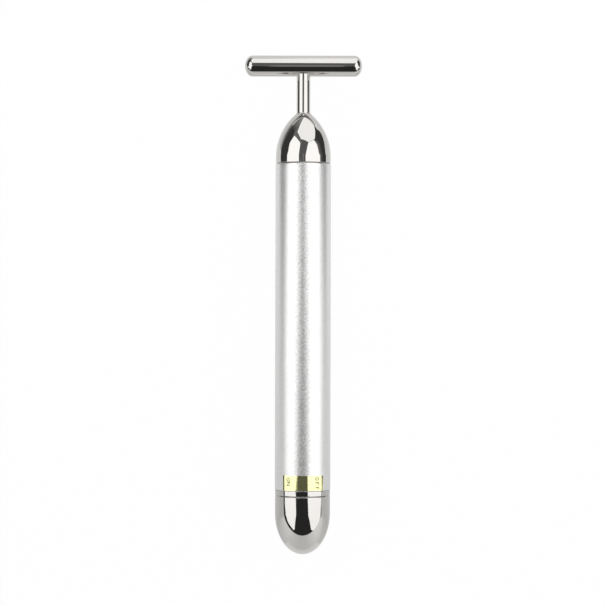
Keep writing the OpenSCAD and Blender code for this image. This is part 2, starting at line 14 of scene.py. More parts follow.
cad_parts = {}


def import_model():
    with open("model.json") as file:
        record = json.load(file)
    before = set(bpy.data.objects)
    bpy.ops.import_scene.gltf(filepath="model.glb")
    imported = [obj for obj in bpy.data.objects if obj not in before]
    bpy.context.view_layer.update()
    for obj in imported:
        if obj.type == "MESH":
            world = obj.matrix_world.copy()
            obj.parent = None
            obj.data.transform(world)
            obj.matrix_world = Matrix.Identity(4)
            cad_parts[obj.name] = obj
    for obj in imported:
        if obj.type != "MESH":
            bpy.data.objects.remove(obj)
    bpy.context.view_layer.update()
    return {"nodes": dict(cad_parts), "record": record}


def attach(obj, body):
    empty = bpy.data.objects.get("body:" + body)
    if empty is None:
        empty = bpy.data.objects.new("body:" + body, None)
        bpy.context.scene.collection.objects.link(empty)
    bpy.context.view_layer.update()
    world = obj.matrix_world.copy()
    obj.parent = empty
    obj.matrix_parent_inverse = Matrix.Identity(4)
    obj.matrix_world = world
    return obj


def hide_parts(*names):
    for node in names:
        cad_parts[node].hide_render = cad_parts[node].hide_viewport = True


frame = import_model()

# Sizes in millimetres
MM = 0.001
SEGMENTS = 160
EDGE = 0.15
PRESS_GAP = 0.02
SEAM_GAP = 0.05
BARREL_R, BORE_R, SLEEVE_R = 9.0, 8.1, 8.08
CAP_R, CAP_DOME, CAP_TOP = 8.92, 13.4, 19.15
CAP_BORE_R, CAP_CAVITY_R, CAP_TIP_WALL = 7.52, 6.82, 1.5
RING_Z, BARREL_Z, BARREL_TOP = 19.35, 21.1, 126.5
NOSE_R, NOSE_STRAIGHT, NOSE_TOP, NOSE_TIP_R = 8.9, 2.3, 142.6, 2.6
NOSE_WALL, NOSE_BORE_R, NOSE_SPIGOT, NUT_SEAT_R = 1.2, 7.1, 5.0, 4.0
STEM_R, STEM_THREAD_R, STEM_FOOT_Z = 2.2, 1.5, 135.97
BAR_R, BAR_HALF, BAR_END, BAR_Z = 3.4, 19.0, 2.5, 158.3
TOTAL_LEN = 161.7
LABEL_R, LABEL_T, LABEL_H, LABEL_ANGLE = 9.01, 0.08, 4.8, 90.0
LABEL_Z, LABEL_TURN = BARREL_Z + EDGE, 1.5
PLUG_R, PLUG_TOP, JOURNAL_R, JOURNAL_Z = 8.0, 28.3, 7.46, 15.35
PLUG_BORE_R, CUP_R, CUP_FLOOR_Z = 1.56, 5.4, 18.15
SEAL_Z, SEAL_GROOVE_R, SEAL_GROOVE_H, SEAL_CORD_R = 24.3, 7.06, 1.2, 0.5
DISC_Z, BOSS_R, BOSS_TOP, SCREW_BORE_R, SCREW_BORE_Z = 13.05, 2.6, 15.01, 1.22, 7.51
SPRING_WIRE_R, SPRING_TURNS, SPRING_Z, SPRING_TOP = 0.3, 4, 18.79, 29.18
CELL_R, CELL_Z, CELL_TOP = 7.15, 29.5, 80.0
KEY_R, KEY_OUT_R, KEY_H, KEY_ANGLE, FRONT = 7.5, 7.95, 2.44, 20, 270

LAID = Matrix((
    (1, 0, 0, 0),
    (0, 0, 1, -TOTAL_LEN / 2),
    (0, -1, 0, BARREL_R),
    (0, 0, 0, 1),
))


# Shape helpers

def arc(cx, cz, radius, start, end, steps):
    """Points on a circle in the outline's plane, from one angle to another, in degrees."""
    turns = [math.radians(start + (end - start) * i / steps) for i in range(steps + 1)]
    return [(cx + radius * math.cos(t), cz + radius * math.sin(t)) for t in turns]


def softened(corners, steps=5):
    """An outline whose corners (r, z, fillet) are rounded by their own fillet."""
    out = []
    count = len(corners)
    for i, (r, z, *fillet) in enumerate(corners):
        here = Vector((r, z))
        if not any(fillet):
            out.append((r, z))
            continue
        fillet = fillet[0]
        before = (Vector(corners[i - 1][:2]) - here).normalized()
        after = (Vector(corners[(i + 1) % count][:2]) - here).normalized()
        half = before.angle(after) / 2
        reach = fillet / math.tan(half)
        centre = here + (before + after).normalized() * fillet / math.sin(half)
        a = here + before * reach - centre
        b = here + after * reach - centre
        for k in range(steps + 1):
            out.append(tuple(centre + a.slerp(b, k / steps).normalized() * fillet))
    return out


def outline_normals(outline):
    """Outward direction at each point; a long straight stretch keeps its own direction."""
    count = len(outline)
    area = sum(
        outline[i][0] * outline[(i + 1) % count][1] - outline[(i + 1) % count][0] * outline[i][1]
        for i in range(count)
    )
    side = 1 if area > 0 else -1
    out = []
    for i in range(count):
        total = Vector((0, 0))
        for a, b in ((outline[i - 1], outline[i]), (outline[i], outline[(i + 1) % count])):
            if abs(a[0]) < 1e-9 and abs(b[0]) < 1e-9:
                continue
            total += Vector((b[1] - a[1], a[0] - b[0])) * side
        out.append(total.normalized() if total.length else Vector((0, side)))
    return out


def lathe(name, outline, place=LAID):
    """A closed solid of revolution from an outline of (r, z), with exact smooth normals."""
    normals = outline_normals(outline)
    verts, shading, rings = [], [], []
    for (r, z), n in zip(outline, normals):
        if r < 1e-6:
            rings.append([len(verts)])
            verts.append((0, 0, z))
            shading.append((0, 0, 1 if n.y >= 0 else -1))
            continue
        ring = []
        for k in range(SEGMENTS):
            a = 2 * math.pi * k / SEGMENTS
            ring.append(len(verts))
            verts.append((r * math.cos(a), r * math.sin(a), z))
            shading.append((n.x * math.cos(a), n.x * math.sin(a), n.y))
        rings.append(ring)
    faces = []
    for i, low in enumerate(rings):
        high = rings[(i + 1) % len(rings)]
        if len(low) == 1 and len(high) == 1:
            continue
        for k in range(SEGMENTS):
            j = (k + 1) % SEGMENTS
            if len(low) == 1:
                faces.append((low[0], high[j], high[k]))
            elif len(high) == 1:
                faces.append((low[k], low[j], high[0]))
            else:
                faces.append((low[k], low[j], high[j], high[k]))
    return solid(name, verts, faces, shading, place)


def linked(name, data):
    """A new object of the scene."""
    obj = bpy.data.objects.new(name, data)
    bpy.context.scene.collection.objects.link(obj)
    return obj


def solid(name, verts, faces, shading=None, place=LAID):
    """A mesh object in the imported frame, with its faces turned outward."""
    mesh = bpy.data.meshes.new(name)
    mesh.from_pydata(verts, [], faces)
    bm = bmesh.new()
    bm.from_mesh(mesh)
    bmesh.ops.recalc_face_normals(bm, faces=bm.faces)
    bm.to_mesh(mesh)
    bm.free()
    mesh.transform(Matrix.Scale(MM, 4) @ place)
    if shading is None:
        mesh.shade_flat()
    else:
        mesh.shade_smooth()
        turn = place.to_3x3()
        mesh.normals_split_custom_set_from_vertices([turn @ Vector(n) for n in shading])
    mesh.update()
    return linked(name, mesh)


def swept(name, path, radius, sides):
    """One closed round tube along a path of points."""
    verts, shading, faces = [], [], []
    last = len(path) - 1
    up = Vector((0, 0, 1))
    for i, p in enumerate(path):
        ahead = (Vector(path[min(i + 1, last)]) - Vector(path[max(i - 1, 0)])).normalized()
        a = ahead.cross(up).normalized()
        b = a.cross(ahead)
        for k in range(sides):
            t = 2 * math.pi * k / sides
            n = a * math.cos(t) + b * math.sin(t)
            verts.append(tuple(Vector(p) + n * radius))
            shading.append(tuple(n))
    for i in range(last):
        for k in range(sides):
            j = (k + 1) % sides
            faces.append((i * sides + k, i * sides + j, (i + 1) * sides + j, (i + 1) * sides + k))
    faces.append(tuple(range(sides)))
    faces.append(tuple(last * sides + k for k in range(sides)))
    return solid(name, verts, faces, shading)


def wrapped(name, angle, z_top, strips, base_r, height):
    """Raised strips on the barrel's wall. Each strip is a list of left and right points (u, z),
    u along the wall from the angle towards +x and z from z_top. A strip that ends where it starts
    is a ring without ends."""
    verts, faces, shading = [], [], []
    for strip in strips:
        start = len(verts)
        ring = strip[0] == strip[-1]
        rows = strip[:-1] if ring else strip
        for pair in rows:
            for u, z in pair:
                turn = math.radians(angle) + u / base_r
                for r in (base_r, base_r + height):
                    verts.append((r * math.sin(turn), -r * math.cos(turn), z_top + z))
                    shading.append((math.sin(turn), -math.cos(turn), 0))
        for i in range(len(strip) - 1):
            a, b = start + 4 * i, start + 4 * ((i + 1) % len(rows))
            faces += [
                (a + 1, a + 3, b + 3, b + 1), (a, b, b + 2, a + 2),
                (a, a + 1, b + 1, b), (a + 2, b + 2, b + 3, a + 3),
            ]
        if not ring:
            last = start + 4 * (len(rows) - 1)
            faces += [
                (start, start + 2, start + 3, start + 1), (last, last + 1, last + 3, last + 2),
            ]
    return solid(name, verts, faces, shading)


def sector(name, r_in, r_out, z, height, angle, direction, steps=8):
    """A piece of a ring, centred on a direction round the axis, with flat faces."""
    verts, faces = [], []
    for i in range(steps + 1):
        a = math.radians(direction + angle * (i / steps - 0.5))
        for r, level in ((r_in, z), (r_out, z), (r_out, z + height), (r_in, z + height)):
            verts.append((r * math.cos(a), r * math.sin(a), level))
    for a in range(0, 4 * steps, 4):
        for k in range(4):
            j = (k + 1) % 4
            faces.append((a + k, a + j, a + 4 + j, a + 4 + k))
    faces += [(0, 1, 2, 3), tuple(4 * steps + k for k in range(4))]
    return solid(name, verts, faces)


# Materials

NOISE_LOW, NOISE_HIGH = 0.3, 0.7


def material(name, color, metallic, roughness):
    """A Principled material with its plain values on its own sockets."""
    mat = bpy.data.materials.new(name)
    mat.use_nodes = True
    shader = mat.node_tree.nodes["Principled BSDF"]
    shader.inputs["Base Color"].default_value = (*color, 1)
    shader.inputs["Metallic"].default_value = metallic
    shader.inputs["Roughness"].default_value = roughness
    return mat


def axes(tree, space="Object"):
    """The X, Y and Z sockets of a place in the given space."""
    where = tree.nodes.new("ShaderNodeTexCoord")
    split = tree.nodes.new("ShaderNodeSeparateXYZ")
    tree.links.new(where.outputs[space], split.inputs["Vector"])
    return split.outputs


def noise(mat, scale, detail, stretch=(1, 1, 1)):
    """A noise field in object space; scale is in features a metre."""
    nodes, links = mat.node_tree.nodes, mat.node_tree.links
    where = nodes.new("ShaderNodeTexCoord")
    mapping = nodes.new("ShaderNodeMapping")
    mapping.inputs["Scale"].default_value = stretch
    field = nodes.new("ShaderNodeTexNoise")
    field.inputs["Scale"].default_value = scale
    field.inputs["Detail"].default_value = detail
    links.new(where.outputs["Object"], mapping.inputs["Vector"])
    links.new(mapping.outputs["Vector"], field.inputs["Vector"])
    return field.outputs["Fac"]


def ramped(tree, field, start, low, end, high):
    """A number that goes from low to high as the field goes from start to end."""
    ramp = tree.nodes.new("ShaderNodeMapRange")
    ramp.inputs["From Min"].default_value = start
    ramp.inputs["From Max"].default_value = end
    ramp.inputs["To Min"].default_value = low
    ramp.inputs["To Max"].default_value = high
    tree.links.new(field, ramp.inputs["Value"])
    return ramp.outputs["Result"]


def tint(mat, field, dark, light, start=NOISE_LOW, end=NOISE_HIGH):
    """Base colour that varies between two colours with the field."""
    nodes, links = mat.node_tree.nodes, mat.node_tree.links
    ramp = nodes.new("ShaderNodeValToRGB")
    ramp.color_ramp.elements[0].position = start
    ramp.color_ramp.elements[1].position = end
    ramp.color_ramp.elements[0].color = (*dark, 1)
    ramp.color_ramp.elements[1].color = (*light, 1)
    links.new(field, ramp.inputs["Fac"])
    links.new(ramp.outputs["Color"], nodes["Principled BSDF"].inputs["Base Color"])


def roughen(mat, field, low, high):
    """Roughness that varies with the field."""
    tree = mat.node_tree
    share = ramped(tree, field, NOISE_LOW, low, NOISE_HIGH, high)
    tree.links.new(share, tree.nodes["Principled BSDF"].inputs["Roughness"])


def bumped(mat, field, depth):
    """A bump whose full height is depth, in metres."""
    nodes, links = mat.node_tree.nodes, mat.node_tree.links
    bump = nodes.new("ShaderNodeBump")
    bump.inputs["Strength"].default_value = 1.0
    bump.inputs["Distance"].default_value = depth
    links.new(field, bump.inputs["Height"])
    links.new(bump.outputs["Normal"], nodes["Principled BSDF"].inputs["Normal"])


def shades(color, change):
    """A darker and a lighter version of a colour."""
    return (
        tuple(c * (1 - change) for c in color),
        tuple(min(1, c * (1 + change)) for c in color),
    )


def chrome():
    """Polished plating with a faint unevenness."""
    color = (0.605, 0.59, 0.57)
    mat = material("chrome", color, metallic=1.0, roughness=0.04)
    tint(mat, noise(mat, scale=60, detail=3), *shades(color, 0.015))
    roughen(mat, noise(mat, scale=260, detail=4), low=0.03, high=0.05)
    return mat


def facing_glint_field(mat, field):
    """The field at full strength where the surface faces the viewer, as painted glints, and calmed
    towards its middle where it turns away; rest is the share of it that stays."""
    middle, facing, turned, rest = 0.5, 0.01, 0.06, 0.2
    nodes, links = mat.node_tree.nodes, mat.node_tree.links
    weight = nodes.new("ShaderNodeLayerWeight")
    weight.inputs["Blend"].default_value = 0.5
    share = ramped(mat.node_tree, weight.outputs["Facing"], facing, 1, turned, rest)
    blend = nodes.new("ShaderNodeMix")
    blend.inputs["A"].default_value = middle
    links.new(share, blend.inputs["Factor"])
    links.new(field, blend.inputs["B"])
    return blend.outputs["Result"]


def satin():
    """Blasted and anodised tube with a fine grain of its own, whose colour speckle is made
    strongest where it faces the viewer as painted glints.
    """
    dark, light = (0.65, 0.647, 0.64), (1, 1, 0.995)
    mat = material("satin_aluminium", (0.86, 0.857, 0.85), metallic=0.85, roughness=0.4)
    grain = noise(mat, scale=1900, detail=1)
    # Painted glints: the grain's colour speckle is at full strength where the tube faces the viewer
    # and fades where it turns away.
    tint(mat, facing_glint_field(mat, grain), dark, light)
    roughen(mat, noise(mat, scale=700, detail=2), low=0.3, high=0.36)
    bumped(mat, grain, depth=0.00003)
    return mat


def foil():
    """The label's smooth gold foil."""
    color = (0.92, 0.90, 0.46)
    mat = material("gold_foil", color, metallic=0.9, roughness=0.08)
    tint(mat, noise(mat, scale=700, detail=3), *shades(color, 0.03))
    roughen(mat, noise(mat, scale=1500, detail=2), low=0.06, high=0.1)
    return mat


def ink():
    """The dark print on the label."""
    color = (0.06, 0.055, 0.03)
    mat = material("ink", color, metallic=0.0, roughness=0.45)
    tint(mat, noise(mat, scale=4000, detail=2), *shades(color, 0.15))
    return mat


def plain_metal(name, color, roughness, grain=1400, depth=0.000004, stretch=(1, 1, 1)):
    """Drawn, turned or stamped metal with a fine tooling grain."""
    mat = material(name, color, metallic=1.0, roughness=roughness)
    field = noise(mat, grain, 3, stretch)
    tint(mat, field, *shades(color, 0.05))
    roughen(mat, noise(mat, grain / 3, detail=2), roughness * 0.8, roughness * 1.25)
    bumped(mat, field, depth)
    return mat


def moulded(name, color, roughness, depth=0.0000015):
    """Moulded plastic or rubber with a fine spark-eroded texture."""
    mat = material(name, color, metallic=0.0, roughness=roughness)
    field = noise(mat, scale=2600, detail=3)
    tint(mat, noise(mat, scale=90, detail=2), *shades(color, 0.04))
    roughen(mat, field, roughness * 0.95, roughness * 1.05)
    bumped(mat, field, depth)
    return mat


def wound_copper():
    """Enamelled wire laid side by side."""
    dark, light = (0.50, 0.20, 0.08), (0.80, 0.38, 0.18)
    mat = material("copper", (0.72, 0.32, 0.14), metallic=1.0, roughness=0.25)
    nodes, links = mat.node_tree.nodes, mat.node_tree.links
    where = nodes.new("ShaderNodeTexCoord")
    wires = nodes.new("ShaderNodeTexWave")
    wires.inputs["Scale"].default_value = 1200
    wires.inputs["Distortion"].default_value = 0.6
    links.new(where.outputs["Object"], wires.inputs["Vector"])
    tint(mat, wires.outputs["Fac"], dark, light, 0.1, 0.9)
    bumped(mat, wires.outputs["Fac"], depth=0.00004)
    return mat


def jacket():
    """Printed shrink film: a green body with a silver band at the positive end."""
    green, silver = (0.05, 0.22, 0.10), (0.62, 0.64, 0.62)
    band_h, blend = 14, 0.1
    mat = material("cell_jacket", (0.1, 0.3, 0.15), metallic=0.35, roughness=0.28)
    start = (CELL_TOP - band_h - TOTAL_LEN / 2) * MM
    tree = mat.node_tree
    band = ramped(tree, axes(tree)["Y"], start, 0, start + blend * MM, 1)
    tint(mat, band, green, silver, 0.4, 0.6)
    roughen(mat, noise(mat, scale=150, detail=2), low=0.26, high=0.3)
    return mat


def make_materials():
    """One material for each slot of the record."""
    return {
        "chrome_plate": chrome(),
        "satin_aluminium": satin(),
        "gold_foil": foil(),
        "stainless": plain_metal("stainless", (0.62, 0.63, 0.65), 0.24),
        "motor_steel": plain_metal("motor_steel", (0.56, 0.57, 0.59), 0.3),
        "core_steel": plain_metal("core_steel", (0.30, 0.31, 0.33), 0.45, 2000, 0.00001, (1, 6, 1)),
        "ferrite": moulded("ferrite", (0.09, 0.09, 0.10), 0.6),
        "bronze": plain_metal("bronze", (0.60, 0.40, 0.18), 0.4),
        "copper": wound_copper(),
        "brass_weight": plain_metal("brass_weight", (0.76, 0.58, 0.26), 0.28),
        "contact_nickel": plain_metal("contact_nickel", (0.72, 0.69, 0.60), 0.2),
        "black_plastic": moulded("black_plastic", (0.03, 0.03, 0.032), 0.45),
        "white_plastic": moulded("white_plastic", (0.78, 0.78, 0.76), 0.4),
        "red_insulation": moulded("red_insulation", (0.55, 0.03, 0.02), 0.35),
        "black_insulation": moulded("black_insulation", (0.02, 0.02, 0.02), 0.35),
        "seal_rubber": moulded("seal_rubber", (0.02, 0.02, 0.02), 0.5),
        "cell_steel": plain_metal("cell_steel", (0.70, 0.71, 0.73), 0.18),
        "cell_mix": moulded("cell_mix", (0.06, 0.06, 0.06), 0.8),
        "cell_jacket": jacket(),
    }


MATERIALS = make_materials()
SLOTS = {s["node"]: s["material_slot"] for s in frame["record"]["subparts"]}


def dressed(obj, body, slot, *nodes, mat=None):
    """Gives a piece its material, its body and the CAD nodes that it stands for."""
    obj.data.materials.clear()
    obj.data.materials.append(mat or MATERIALS[slot])
    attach(obj, body)
    if nodes:
        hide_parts(*nodes)


def dress_cad_nodes():
    """The pieces inside keep their CAD shapes and get real materials."""
    for name, obj in frame["nodes"].items():
        obj.data.materials.clear()
        obj.data.materials.append(MATERIALS[SLOTS[name]])


# T head

ACROSS = LAID @ Matrix.Translation((0, 0, BAR_Z)) @ Matrix.Rotation(math.radians(90), 4, "Y")


def t_bar():
    """The crossbar, a plain rod with elliptical ends."""
    steps = 14

    def end(side):
        turns = [math.pi / 2 * i / steps for i in range(steps + 1)]
        return [
            (BAR_R * math.sin(t), side * (BAR_HALF - BAR_END * (1 - math.cos(t)))) for t in turns
        ]
    outline = end(-1) + end(1)[::-1]
    dressed(lathe("t_bar", outline, ACROSS), "handle", "chrome_plate", "t_bar")


def stem():
    """The stem's rod with a small bead where it stands on the nose, and its thread below."""
    bead = 0.4
    outline = softened([
        (0, STEM_FOOT_Z, 0), (STEM_THREAD_R, STEM_FOOT_Z, 0.2), (STEM_THREAD_R, NOSE_TOP, 0),
        (STEM_R + bead, NOSE_TOP, 0), (STEM_R, NOSE_TOP + bead, 0.3),
        (STEM_R, BAR_Z, 0.1), (0, BAR_Z, 0),
    ])
    dressed(lathe("stem", outline), "handle", "chrome_plate", "stem")


def weld_bead(name, rod_r, bead_r, surface, around=64, steps=6):
    """A hollow fillet round the stem, from its wall up to a surface z(x, y). Its root lies hidden
    in the stem and above the surface."""
    root_in, root_up = 0.2, 0.3
    verts, shading, faces = [], [], []
    for k in range(around):
        a = 2 * math.pi * k / around
        out = Vector((math.cos(a), math.sin(a), 0))
        edge_z = surface(*(out * (rod_r + bead_r)).xy)
        for i in range(steps + 1):
            t = math.pi / 2 * i / steps
            r = rod_r + bead_r * (1 - math.cos(t))
            verts.append((*(out * r).xy, edge_z - bead_r * (1 - math.sin(t))))
            shading.append(tuple(out * math.cos(t) - Vector((0, 0, math.sin(t)))))
        verts.append((*(out * (rod_r - root_in)).xy, edge_z + root_up))
        shading.append((0, 0, 1))
    row = steps + 2
    for k in range(around):
        a, b = k * row, (k + 1) % around * row
        faces += [(a + i, b + i, b + (i + 1) % row, a + (i + 1) % row) for i in range(row)]
    return solid(name, verts, faces, shading)


def bar_weld():
    """The stem meets the crossbar in a small round fillet."""
    overlap, fillet = 0.005, 0.45

    def under_bar(_x, y):
        return BAR_Z - math.sqrt(BAR_R ** 2 - y * y)

    bead = weld_bead("bar_weld", STEM_R - overlap, fillet, under_bar)
    dressed(bead, "handle", "chrome_plate")


def nose_cone():
    """Collar, ogive, tip and hollow inside, with the spigot that stands in the barrel."""
    rise = NOSE_TOP - BARREL_TOP - NOSE_STRAIGHT
    fall = NOSE_R - NOSE_TIP_R
    radius = (rise * rise + fall * fall) / (2 * fall)
    centre = (NOSE_R - radius, BARREL_TOP + NOSE_STRAIGHT)
    top_angle = math.degrees(math.asin(rise / radius))
    low, bevel = BARREL_TOP + SEAM_GAP, 0.3
    outer = softened([
        (SLEEVE_R, low, 0), (NOSE_R - bevel, low, 0), (NOSE_R, low + bevel, 0.08),
        (NOSE_R, centre[1], 0),
    ])[:-1]
    outer += arc(*centre, radius, 0, top_angle - 0.4, 40)
    tip = softened([
        outer[-1], (NOSE_TIP_R, NOSE_TOP, 0.15), (STEM_THREAD_R + PRESS_GAP, NOSE_TOP, 0),
    ])[1:]
    hollow = radius - NOSE_WALL
    seat_z = centre[1] + math.sqrt(hollow ** 2 - (NUT_SEAT_R - centre[0]) ** 2)
    bore_angle = math.degrees(math.acos((NOSE_BORE_R - centre[0]) / hollow))
    seat_angle = math.degrees(math.asin((seat_z - centre[1]) / hollow))
    inner = [(STEM_THREAD_R + PRESS_GAP, seat_z)]
    inner += arc(*centre, hollow, seat_angle, bore_angle, 16)
    foot = BARREL_TOP - NOSE_SPIGOT
    spigot = softened([
        inner[-1], (NOSE_BORE_R, foot, 0.1), (SLEEVE_R, foot, 0.2), (SLEEVE_R, low, 0),
    ])[1:-1]
    dressed(lathe("nose_cone", outer + tip + inner + spigot), "handle", "chrome_plate", "nose_cone")


# Handle

def barrel():
    """The satin tube, softened a little more where the nose meets it."""
    outline = softened([
        (BORE_R, BARREL_Z, 0.1), (BARREL_R, BARREL_Z, EDGE),
        (BARREL_R, BARREL_TOP, 2 * EDGE), (BORE_R, BARREL_TOP, 0.1),
    ])
    dressed(lathe("barrel", outline), "handle", "satin_aluminium", "barrel")


def switch_label():
    """The foil is a thin closed sheet wrapped round the front of the barrel."""
    half = math.radians(LABEL_ANGLE / 2) * LABEL_R
    steps = 64
    across = [half * (2 * i / steps - 1) for i in range(steps + 1)]
    strip = [((u, 0), (u, LABEL_H)) for u in across]
    label = wrapped("switch_label", LABEL_TURN, LABEL_Z, [strip], LABEL_R, LABEL_T)
    dressed(label, "handle", "gold_foil", "switch_label")


def along(points, step=0.15):
    """The same line with more points, so that it can follow the barrel."""
    out = [points[0]]
    for a, b in zip(points, points[1:]):
        count = max(1, round((Vector(b) - Vector(a)).length / step))
        out += [tuple(Vector(a).lerp(Vector(b), (i + 1) / count)) for i in range(count)]
    return out


def stroke(points, width):
    """A strip of even width along a line of points, which may be a closed ring."""
    ring = points[0] == points[-1]
    out = []
    for i, p in enumerate(points):
        before = points[i - 1] if i else points[-2 if ring else 0]
        after = points[i + 1] if i + 1 < len(points) else points[1 if ring else -1]
        ahead = (Vector(after) - Vector(before)).normalized()
        side = Vector((-ahead.y, ahead.x)) * width / 2
        out.append((tuple(Vector(p) + side), tuple(Vector(p) - side)))
    return out


LETTER_H, LETTER_LINE = 1.45, 0.24
LETTER_W = {"O": 1.03, "N": 1.25, "F": 0.97}


def letter_lines(kind):
    """Centre lines of one letter, x along the word and y up the letter."""
    round_steps, short_bar = 24, 0.85
    inset = LETTER_LINE / 2
    left, right, low, high = inset, LETTER_W[kind] - inset, inset, LETTER_H - inset
    if kind == "O":
        middle, rise = LETTER_W[kind] / 2, LETTER_H / 2
        ring = [
            (middle + (right - middle) * math.cos(t), rise + (high - rise) * math.sin(t))
            for t in (2 * math.pi * k / round_steps for k in range(round_steps))
        ]
        return [ring + ring[:1]]
    post = [(left, low), (left, high)]
    if kind == "N":
        return [post, [(left, high), (right, low)], [(right, low), (right, high)]]
    middle = LETTER_H / 2
    return [post, [(left, high), (right, high)], [(left, middle), (right * short_bar, middle)]]


def word(name, text, angle, top_z, gap):
    """A word printed on the label. It reads towards the cap, with its letters' tops towards +x."""
    sunk, thick = 0.003, 0.012
    strips, start = [], 0
    for kind in text:
        for points in letter_lines(kind):
            laid = [(y - LETTER_H / 2, -start - x) for x, y in points]
            strips.append(stroke(laid if kind == "O" else along(laid), LETTER_LINE))
        start += LETTER_W[kind] + gap
    print_r = LABEL_R + LABEL_T - sunk
    dressed(wrapped(name, angle, top_z, strips, print_r, thick), "handle", "gold_foil", mat=ink())


def switch_words():
    """The generic words of the twist switch, one towards each end of the label."""
    top = LABEL_Z + LABEL_H
    word("switch_word_on", "ON", angle=-30, top_z=top - 0.8, gap=0.15)
    word("switch_word_off", "OFF", angle=31, top_z=top - 0.5, gap=0.52)


# Switch and cap

def collar_ring():
    """The chrome ring between barrel and cap."""
    low, high = RING_Z, BARREL_Z - SEAM_GAP
    outline = softened([
        (JOURNAL_R + PRESS_GAP, low, 0.05), (CAP_R, low, 0.1),
        (CAP_R, high, 0.1), (JOURNAL_R + PRESS_GAP, high, 0.05),
    ])
    dressed(lathe("collar_ring", outline), "plug", "chrome_plate", "collar_ring")


def end_cap():
    """The cap's shell with its boss: outside, mouth, cavity and boss in one closed outline."""
    quarter, dome_steps, cavity_steps, boss_step = math.pi / 2, 48, 16, 4
    dome = [
        (CAP_R * math.sin(t), CAP_DOME * (1 - math.cos(t)))
        for t in (quarter * i / dome_steps for i in range(dome_steps + 1))
    ]
    mouth = softened([
        dome[-1], (CAP_R, CAP_TOP, 0.2), (CAP_BORE_R, CAP_TOP, 0.1), (CAP_BORE_R, DISC_Z, 0),
    ])[1:]
    depth = DISC_Z - CAP_TIP_WALL
    cavity = [
        (CAP_CAVITY_R * math.sin(t), DISC_Z - depth * math.cos(t))
        for t in (quarter * i / cavity_steps for i in range(cavity_steps, boss_step, -1))
    ]
    boss_foot = DISC_Z - depth * math.sqrt(1 - (BOSS_R / CAP_CAVITY_R) ** 2)
    boss = softened([
        cavity[-1], (BOSS_R, boss_foot, 0), (BOSS_R, BOSS_TOP, EDGE), (SCREW_BORE_R, BOSS_TOP, 0),
        (SCREW_BORE_R, SCREW_BORE_Z, 0), (0, SCREW_BORE_Z, 0),
    ])[1:]
    dressed(lathe("end_cap", dome + mouth + cavity + boss), "cap", "chrome_plate", "end_cap")


def switch_plug():
    """The plug: journal, body with the seal's groove, cup for the spring, and its key."""
    groove_low, groove_high = SEAL_Z - SEAL_GROOVE_H / 2, SEAL_Z + SEAL_GROOVE_H / 2
    outline = softened([
        (PLUG_BORE_R, JOURNAL_Z, 0), (JOURNAL_R, JOURNAL_Z, 0.1),
        (JOURNAL_R, BARREL_Z, 0), (PLUG_R, BARREL_Z, 0.05),
        (PLUG_R, groove_low, 0.05), (SEAL_GROOVE_R, groove_low, 0),
        (SEAL_GROOVE_R, groove_high, 0), (PLUG_R, groove_high, 0.05),
        (PLUG_R, PLUG_TOP, 0.25), (CUP_R, PLUG_TOP, 0.15),
        (CUP_R, CUP_FLOOR_Z, 0.1), (PLUG_BORE_R, CUP_FLOOR_Z, 0),
    ])
    dressed(lathe("switch_plug", outline), "plug", "white_plastic", "switch_plug")
    key = sector("plug_key", KEY_R, KEY_OUT_R, PLUG_TOP - 0.05, KEY_H, KEY_ANGLE, FRONT)
    dressed(key, "plug", "white_plastic")


def plug_seal():
    """The O-ring in its groove, a point every 15 degrees."""
    outline = arc(BORE_R - SEAL_CORD_R - PRESS_GAP, SEAL_Z, SEAL_CORD_R, 0, 345, 23)
    dressed(lathe("plug_seal", outline), "plug", "seal_rubber", "plug_seal")


def battery_spring():
    """The same conical spring as the CAD node, with rounder turns and wire."""
    rings, big, small, pace = 40, 4.8, 2.6, 0.45
    path = []
    for i in range(SPRING_TURNS * rings + 1):
        t = i / (SPRING_TURNS * rings)
        a = 2 * math.pi * i / rings
        r = big + (small - big) * t
        rise = t * t * (3 - 2 * t) * (1 - pace) + t * pace
        path.append((r * math.cos(a), r * math.sin(a), SPRING_Z + (SPRING_TOP - SPRING_Z) * rise))
    spring = swept("battery_spring", path, SPRING_WIRE_R, 12)
    dressed(spring, "plug", "contact_nickel", "battery_spring")


def battery():
    """The cell: steel can with its button, printed jacket, seal and negative cap."""
    jacket_r, can_bore_r, wall = 7.05, 6.7, 0.35
    button_r, button_h, negative_r, negative_top = 2.6, 1.5, 5.2, CELL_Z + 1.96
    film_r, film_margin, sheet = jacket_r + 0.01, 0.2, 0.4
    seal_r, seal_out_r, seal_low, seal_high = 5.22, 6.68, CELL_Z + 0.02, CELL_Z + 1.98
    shoulder = CELL_TOP - button_h
    can = softened([
        (0, CELL_TOP, 0), (button_r, CELL_TOP, 0.3), (button_r, shoulder, 0.15),
        (jacket_r, shoulder, 0.4), (jacket_r, CELL_Z, 0.1), (can_bore_r, CELL_Z, 0.1),
        (can_bore_r, shoulder - wall, 0), (button_r - wall, shoulder - wall, 0),
        (button_r - wall, CELL_TOP - wall, 0), (0, CELL_TOP - wall, 0),
    ])
    dressed(lathe("cell_can", can), "battery", "cell_steel", "cell_can")
    film = softened([
        (film_r, CELL_Z + film_margin, 0), (CELL_R, CELL_Z + film_margin, 0.04),
        (CELL_R, shoulder - film_margin, 0.04), (film_r, shoulder - film_margin, 0),
    ])
    dressed(lathe("cell_jacket", film), "battery", "cell_jacket", "cell_jacket")
    cap = softened([
        (0, CELL_Z, 0), (negative_r, CELL_Z, 0.3), (negative_r, negative_top, 0),
        (negative_r - sheet, negative_top, 0), (negative_r - sheet, CELL_Z + sheet, 0),
        (0, CELL_Z + sheet, 0),
    ])
    dressed(lathe("cell_negative_cap", cap), "battery", "cell_steel", "cell_negative_cap")
    seal = softened([
        (seal_r, seal_low, 0.1), (seal_out_r, seal_low, 0.1),
        (seal_out_r, seal_high, 0), (seal_r, seal_high, 0),
    ])
    dressed(lathe("cell_seal", seal), "battery", "black_plastic", "cell_seal")


# Stage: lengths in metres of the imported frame, and strengths in which 1 is white

